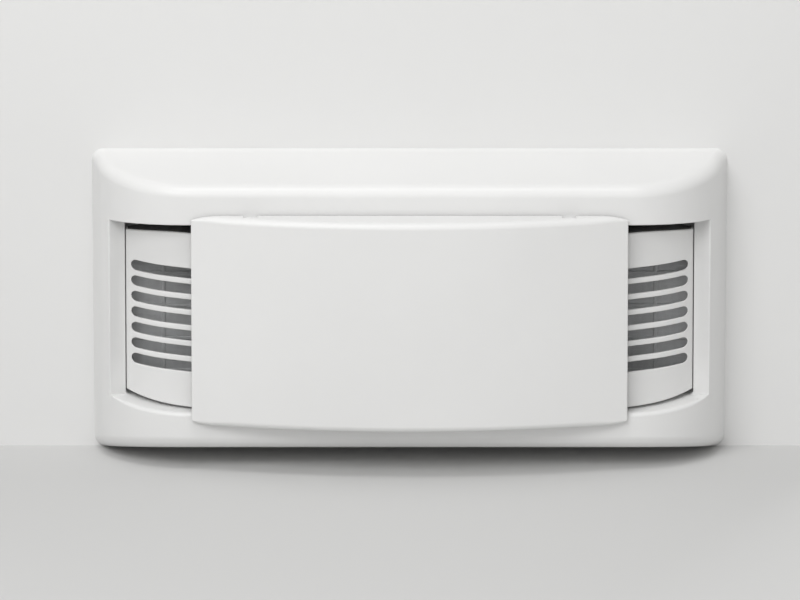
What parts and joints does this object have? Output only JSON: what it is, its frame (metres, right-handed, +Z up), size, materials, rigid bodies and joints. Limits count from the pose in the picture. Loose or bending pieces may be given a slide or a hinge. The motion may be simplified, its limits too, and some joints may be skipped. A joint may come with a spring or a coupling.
{
  "type": "window air conditioner",
  "caption": "Low-profile window air conditioner with a bowed lift-up front cover, slotted intake cheeks, a slim air outlet and a steel chassis behind the bezel.",
  "frame": {"origin": "bottom centre of the whole unit, at the level of the base rails' underside, midway between the cover's face and the rear guard", "axes": "+X to the right as the room user sees the front, +Y from the room to outdoors, +Z up; the room face looks along -Y and the wall plane is y = -0.123"},
  "size_m": [0.6, 0.5, 0.2914],
  "materials": {
    "bezel_white": "fine satin moulding",
    "panel_grey": "satin moulding",
    "filter_mesh": "fine woven mesh",
    "black_plastic": "satin moulding",
    "white_foam": "expanded foam",
    "dark_foam": "closed-cell foam",
    "black_rubber": "moulded rubber",
    "galvanised_steel": "zinc-coated sheet",
    "cabinet_paint": "powder coat",
    "bright_steel": "zinc-plated",
    "aluminium": "thin fins",
    "copper": "drawn copper tube",
    "black_enamel": "stoved enamel"
  },
  "bodies": {
    "chassis": {"front_bezel": "bezel_white", "grille_insert": "bezel_white", "cover_hinge_bracket_left": "bezel_white", "cover_hinge_bracket_right": "bezel_white", "control_panel": "panel_grey", "control_box": "panel_grey", "thermostat_body": "panel_grey", "cover_catch": "black_plastic", "selector_switch": "black_plastic", "fan_shroud": "black_plastic", "terminal_cover": "black_plastic", "blower_housing": "white_foam", "outlet_duct": "white_foam", "drain_tray": "white_foam", "wall_seal": "dark_foam", "compressor_grommet_1": "black_rubber", "compressor_grommet_2": "black_rubber", "compressor_grommet_3": "black_rubber", "cord_inlet_bush": "black_rubber", "drain_plug": "black_rubber", "bulkhead": "galvanised_steel", "motor_bracket": "galvanised_steel", "base_pan": "galvanised_steel", "base_rail_left": "galvanised_steel", "base_rail_right": "galvanised_steel", "capacitor_strap": "galvanised_steel", "sash_angle": "galvanised_steel", "cabinet_shell": "cabinet_paint", "rear_grille": "cabinet_paint", "cabinet_screw_1": "bright_steel", "cabinet_screw_2": "bright_steel", "cabinet_screw_3": "bright_steel", "cabinet_screw_4": "bright_steel", "evaporator_coil": "aluminium", "condenser_coil": "aluminium", "run_capacitor": "aluminium", "suction_tube": "copper", "discharge_tube": "copper", "liquid_tube": "copper", "expansion_tube": "copper", "accumulator_outlet_tube": "copper", "filter_drier": "copper", "thermostat_bulb": "copper", "thermostat_capillary": "copper", "fan_motor": "black_enamel", "compressor": "black_enamel", "accumulator": "black_enamel"},
    "front_cover": {"front_cover": "bezel_white", "cover_hinge_pin_left": "bright_steel", "cover_hinge_pin_right": "bright_steel"},
    "left_filter": {"air_filter_left": "filter_mesh"},
    "right_filter": {"air_filter_right": "filter_mesh"},
    "mode_knob": {"mode_knob": "bezel_white"},
    "thermostat_knob": {"thermostat_knob": "bezel_white"},
    "vent_pull": {"vent_pull": "bezel_white"},
    "vent_door": {"vent_door": "black_plastic"},
    "outlet_flap": {"outlet_flap": "black_plastic"},
    "fan_rotor": {"motor_shaft": "bright_steel", "blower_wheel": "black_plastic", "condenser_fan": "black_plastic"}
  },
  "joints": [
    {"name": "cover_hinge", "type": "hinge", "parent": "chassis", "child": "front_cover", "pos_m": [0, -0.2222, 0.2465], "axis": [-1, 0, 0], "range_deg": [0, 80]},
    {"name": "left_filter_slide", "type": "slide", "parent": "chassis", "child": "left_filter", "axis": [1, 0, 0], "range_m": [0, 0.07]},
    {"name": "right_filter_slide", "type": "slide", "parent": "chassis", "child": "right_filter", "axis": [-1, 0, 0], "range_m": [0, 0.07]},
    {"name": "mode_knob_turn", "type": "hinge", "parent": "chassis", "child": "mode_knob", "pos_m": [0.045, -0.207, 0.1497], "axis": [0, 1, 0], "range_deg": [-135, 135]},
    {"name": "thermostat_knob_turn", "type": "hinge", "parent": "chassis", "child": "thermostat_knob", "pos_m": [-0.045, -0.207, 0.1497], "axis": [0, 1, 0], "range_deg": [-135, 135]},
    {"name": "vent_slide", "type": "slide", "parent": "chassis", "child": "vent_pull", "axis": [0, -1, 0], "range_m": [0, 0.006]},
    {"name": "vent_door_hinge", "type": "hinge", "parent": "chassis", "child": "vent_door", "pos_m": [-0.075, 0.0065, 0.213], "axis": [1, 0, 0], "range_deg": [0, 45.5]},
    {"name": "outlet_flap_turn", "type": "hinge", "parent": "chassis", "child": "outlet_flap", "pos_m": [0, -0.1395, 0.2342], "axis": [1, 0, 0], "range_deg": [-30, 30]},
    {"name": "fan_spin", "type": "hinge", "parent": "chassis", "child": "fan_rotor", "pos_m": [0.055, 0, 0.14], "axis": [0, 1, 0], "continuous": true}
  ],
  "couplings": [
    {"joint": "vent_door_hinge", "follows": "vent_slide", "rad_per_m": 130.9}
  ]
}
